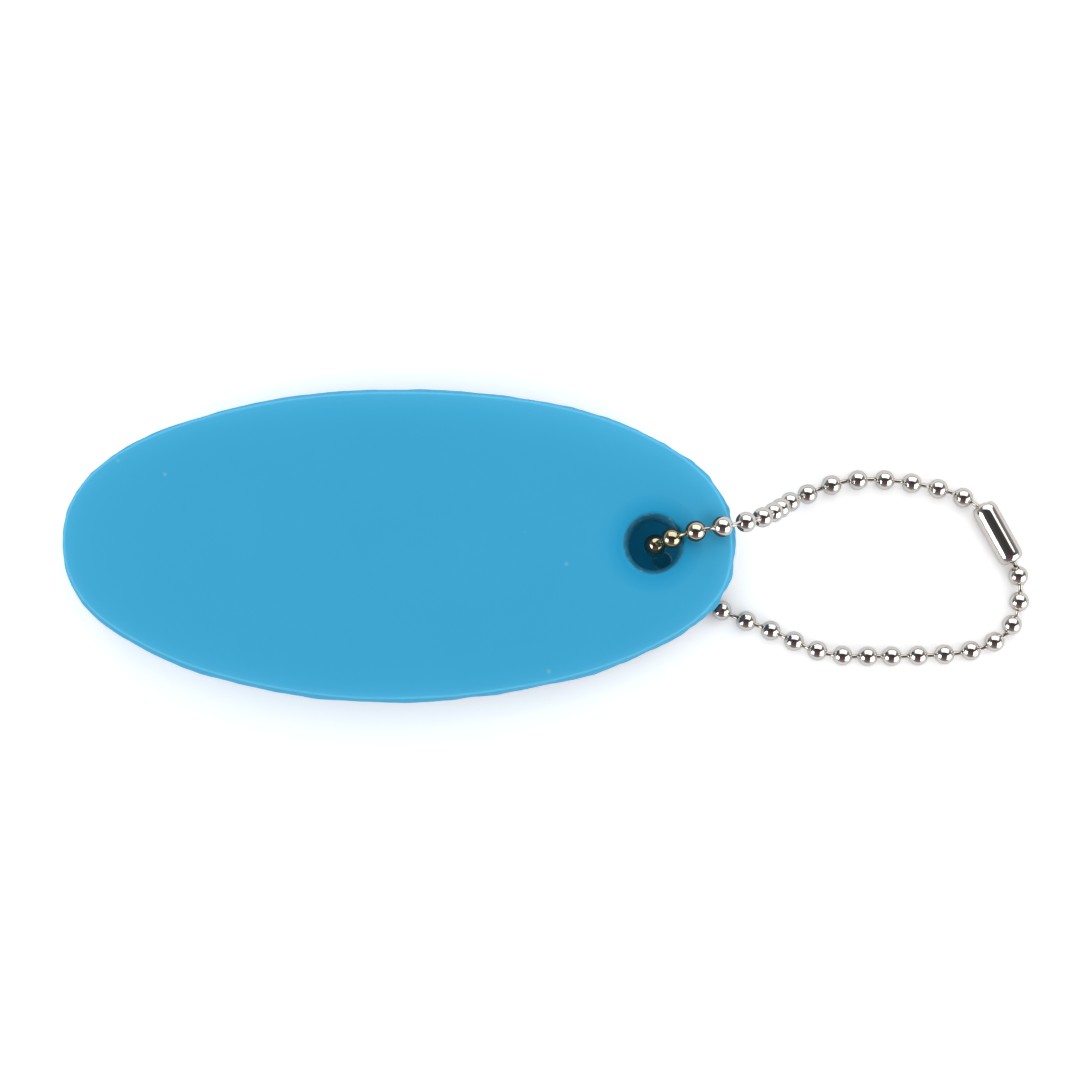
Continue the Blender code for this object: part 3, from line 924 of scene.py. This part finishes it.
def plating_group():
    """Shared wear of the nickel plate: fine rubbing in the gloss and a slight orange peel."""
    group = bpy.data.node_groups.new("nickel_wear", "ShaderNodeTree")
    for name, level in (("Rub Scale", 2600.0), ("Gloss", 0.08), ("Rub", 0.08)):
        socket = group.interface.new_socket(name, in_out="INPUT", socket_type="NodeSocketFloat")
        socket.default_value = level
    for name in ("Roughness", "Height", "Film"):
        group.interface.new_socket(name, in_out="OUTPUT", socket_type="NodeSocketFloat")
    nodes, links = group.nodes, group.links
    source = nodes.new("NodeGroupInput")
    sink = nodes.new("NodeGroupOutput")
    place = nodes.new("ShaderNodeTexCoord")
    rub = nodes.new("ShaderNodeTexNoise")
    rub.inputs["Detail"].default_value = 4.0
    links.new(place.outputs["Object"], rub.inputs["Vector"])
    links.new(source.outputs["Rub Scale"], rub.inputs["Scale"])
    scaled = nodes.new("ShaderNodeMath")
    scaled.operation = "MULTIPLY_ADD"
    links.new(rub.outputs["Fac"], scaled.inputs[0])
    links.new(source.outputs["Rub"], scaled.inputs[1])
    links.new(source.outputs["Gloss"], scaled.inputs[2])
    links.new(scaled.outputs["Value"], sink.inputs["Roughness"])
    links.new(rub.outputs["Fac"], sink.inputs["Height"])
    film = nodes.new("ShaderNodeTexNoise")
    film.inputs["Scale"].default_value = 420.0
    film.inputs["Detail"].default_value = 2.0
    links.new(place.outputs["Object"], film.inputs["Vector"])
    links.new(film.outputs["Fac"], sink.inputs["Film"])
    return group


WEAR = plating_group()

# Paints near the hole: the height of their middle on its axis, how far they are full and how far
# they reach, and their colour. An olive tint lies on the upper balls; the lower ones, deep in the
# hole, are painted a dark blue shade and given a faint painted blue glow.
OLIVE_TINT = (0.014, 0.007, 0.0135, (0.46, 0.43, 0.26, 1.0))
# Painted shade on the balls deep in the hole.
BALL_SHADE_IN_HOLE = (0.003, 0.0078, 0.0100, (0.012, 0.085, 0.125, 1.0))
# Painted glow on the balls deep in the hole.
BALL_GLOW_IN_HOLE = (0.003, 0.0075, 0.0097, (0.001, 0.030, 0.055, 1.0))
BLACK = (0.0, 0.0, 0.0, 1.0)


def nickel(name, bright, dull, gloss, rub, tint_and_shade_share=0.0):
    """Bright nickel plate. Near the float's hole it has an olive tint, and what lies deep in the
    hole is painted a dark blue shade with a faint painted blue glow."""
    material = bpy.data.materials.new(name)
    add, join = new_nodes(material)
    shader = add("ShaderNodeBsdfPrincipled", {"Metallic": 1.0, "Emission Strength": 1.0})
    out = add("ShaderNodeOutputMaterial")
    join(shader.outputs["BSDF"], out.inputs["Surface"])
    wear = add("ShaderNodeGroup", node_tree=WEAR)
    wear.inputs["Gloss"].default_value = gloss
    wear.inputs["Rub"].default_value = rub
    base = add("ShaderNodeMix", {"A": (*bright, 1.0), "B": (*dull, 1.0)}, data_type="RGBA")
    join(wear.outputs["Film"], base.inputs["Factor"])
    place = add("ShaderNodeTexCoord")

    def near_hole_paint(height, full, reach, paint):
        """A mix with one of the paints near the hole, which fades with the distance from its
        middle.
        """
        middle = (CHAIN_SHIFT, 0.0, height)
        away = add("ShaderNodeVectorMath", {1: middle}, operation="DISTANCE")
        join(place.outputs["Object"], away.inputs[0])
        film = add(
            "ShaderNodeMapRange",
            {"From Min": full, "From Max": reach, "To Min": tint_and_shade_share, "To Max": 0.0},
            interpolation_type="SMOOTHSTEP",
        )
        join(away.outputs["Value"], film.inputs["Value"])
        over = add("ShaderNodeMix", {"A": BLACK, "B": paint}, data_type="RGBA")
        join(film.outputs["Result"], over.inputs["Factor"])
        return over

    olive_tinted = near_hole_paint(*OLIVE_TINT)
    join(base.outputs["Result"], olive_tinted.inputs["A"])
    # Painted shade: the balls deep in the hole turn dark blue.
    shaded_in_hole = near_hole_paint(*BALL_SHADE_IN_HOLE)
    join(olive_tinted.outputs["Result"], shaded_in_hole.inputs["A"])
    join(shaded_in_hole.outputs["Result"], shader.inputs["Base Color"])
    # Painted glow: the balls deep in the hole give off a faint blue light.
    join(near_hole_paint(*BALL_GLOW_IN_HOLE).outputs["Result"], shader.inputs["Emission Color"])
    join(wear.outputs["Roughness"], shader.inputs["Roughness"])
    bump = add("ShaderNodeBump", {"Strength": 0.08, "Distance": 0.02 * MM})
    join(wear.outputs["Height"], bump.inputs["Height"])
    join(bump.outputs["Normal"], shader.inputs["Normal"])
    return material


ball_nickel = nickel(
    "ball_nickel", (0.83, 0.80, 0.765), (0.75, 0.71, 0.67), gloss=0.03, rub=0.07, tint_and_shade_share=0.9
)
pin_nickel = nickel(
    "pin_nickel", (0.66, 0.62, 0.57), (0.55, 0.51, 0.47), gloss=0.16, rub=0.10, tint_and_shade_share=0.7
)

shell = turned_grid(ball_profile(), BALL_AROUND)

# The balls that rest in the hole, counted from 0: the first, and the last two.
IN_THE_HOLE = (0, 36, 37)


def ball_body(index):
    """The body that ball number index, from 0, belongs to."""
    if index in IN_THE_HOLE:
        return "float"
    if index in (HELD, HELD + 1):
        return "clasp"
    return f"ball_{index + 1:02d}"


def link_piece(index, before=None, after=None):
    """One ball, with the pin by which it hangs in the ball before it, joined where the pin's
    head sits in its own hole. Towards a ball after it the pin's free end is cut off."""
    grids = [(placed(shell, frame_along(centres[index], lines[index])), True)]
    if before is not None:
        side = 1.0 if before == (index - 1) % len(centres) else -1.0
        start = centres[before] + side * lines[before] * BALL_MIDWALL
        end = centres[index] - side * lines[index] * BALL_MIDWALL
        grids.append((pin_grid(start, end), False))
    if after is not None:
        start = centres[after] - lines[after] * BALL_MIDWALL
        end = centres[index] + lines[index] * BALL_MIDWALL
        grids.append((pin_grid(start, end, free=False), False))
    slots = [0] * (shell.shape[0] * shell.shape[1])
    for grid, _ in grids[1:]:
        slots += [1] * (PIN_AROUND * (grid.shape[1] - 1))
    name = f"bead_{index + 1:02d}"
    mesh = ring_mesh(name, grids)
    mesh.materials.append(ball_nickel)
    mesh.materials.append(pin_nickel)
    mesh.polygons.foreach_set("material_index", np.array(slots, np.int32))
    settle(mesh)
    piece = bpy.data.objects.new(name, mesh)
    bpy.context.scene.collection.objects.link(piece)
    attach(piece, ball_body(index))
    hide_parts(f"chain_ball_{index + 1:02d}")


link_piece(0)
for i in range(1, HELD + 1):
    link_piece(i, before=i - 1)
link_piece(HELD + 1, after=HELD + 2)
for i in range(len(centres) - 1, HELD + 1, -1):
    link_piece(i, before=(i + 1) % len(centres))

# Clasp
# One piece of nickel-plated sheet rolled into a tube, split along its underside, with both
# ends drawn in so that each holds the last ball of the chain.

CLASP_WALL = 0.25 * MM
CLASP_MOUTH_RADIUS = 1.25 * MM
CLASP_END_LENGTH = 1.35 * MM
CLASP_SPLIT = 1.1 * MM

# Points of the grid: round the tube, over a drawn-in end, and along the straight part.
CLASP_AROUND = 72
CLASP_END_STEPS = 12
CLASP_STRAIGHT_STEPS = 12


def clasp_section(steps):
    """Half-loop of the clasp's sheet from mouth to mouth: straight with a quarter turn at
    each end, once outside and once inside, as (along, radius) points of equal count."""
    roll = CLASP_DIAMETER / 2 - CLASP_MOUTH_RADIUS
    end = CLASP_LENGTH / 2 - CLASP_END_LENGTH
    turn = np.linspace(0.0, np.pi / 2, steps)
    straight = np.linspace(1.0, -1.0, CLASP_STRAIGHT_STEPS)[1:-1, None] * [[end, 0.0]]

    def line(radius):
        """One side of the sheet, which stands the radius out from the mouth's circle."""
        reach = CLASP_END_LENGTH - (roll - radius)
        along = end + reach * np.cos(turn)
        arc = np.stack([along, CLASP_MOUTH_RADIUS + radius * np.sin(turn)], axis=-1)
        top = straight + [[0.0, CLASP_MOUTH_RADIUS + radius]]
        return np.vstack([arc, top, arc[::-1] * [-1.0, 1.0]])

    return line(roll), line(roll - CLASP_WALL)


def clasp_grid():
    """The sheet bent round X, from one edge of the split to the other; each section point
    starts asin(half split / radius) away from straight down, and a row through the middle of
    the sheet closes each edge."""
    outer, inner = clasp_section(CLASP_END_STEPS)
    loop = np.vstack([outer, inner[::-1]])
    middle = (outer + inner) / 2
    middle_loop = np.vstack([middle, middle[::-1]])

    def bent(section, turn):
        """Section points turned round X, from level by the given angles."""
        along = np.broadcast_to(section[:, 0], turn.shape)
        return np.stack(
            [along, np.cos(turn) * section[:, 1], np.sin(turn) * section[:, 1]], axis=-1
        )

    def open_by(section):
        """Half the split's width as an angle at each section point."""
        return np.arcsin(CLASP_SPLIT / 2 / section[:, 1])

    share = np.linspace(0.0, 1.0, CLASP_AROUND)[:, None]
    turn = -np.pi / 2 + open_by(loop) + share * (2 * np.pi - 2 * open_by(loop))
    first = -np.pi / 2 + open_by(middle_loop)
    last = 3 * np.pi / 2 - open_by(middle_loop)
    caps = [bent(middle_loop, first)[None], bent(middle_loop, last)[None]]
    return np.concatenate([caps[0], bent(loop, turn), caps[1]], axis=0)


clasp_points = placed(clasp_grid(), frame_along(clasp_middle, clasp_along))
clasp_shell = bpy.data.meshes.new("chain_clasp_tube")
clasp_quads = grid_quads(*clasp_points.shape[:2], wrap_rows=False)[:, ::-1]
clasp_shell.from_pydata(clasp_points.reshape(-1, 3).tolist(), [], clasp_quads.tolist())
settle(clasp_shell)
clasp_shell.materials.append(
    nickel("clasp_nickel_plate", (0.85, 0.81, 0.78), (0.76, 0.715, 0.68), gloss=0.03, rub=0.08)
)
clasp_tube = bpy.data.objects.new("clasp_tube", clasp_shell)
bpy.context.scene.collection.objects.link(clasp_tube)
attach(clasp_tube, "clasp")
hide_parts("chain_clasp")
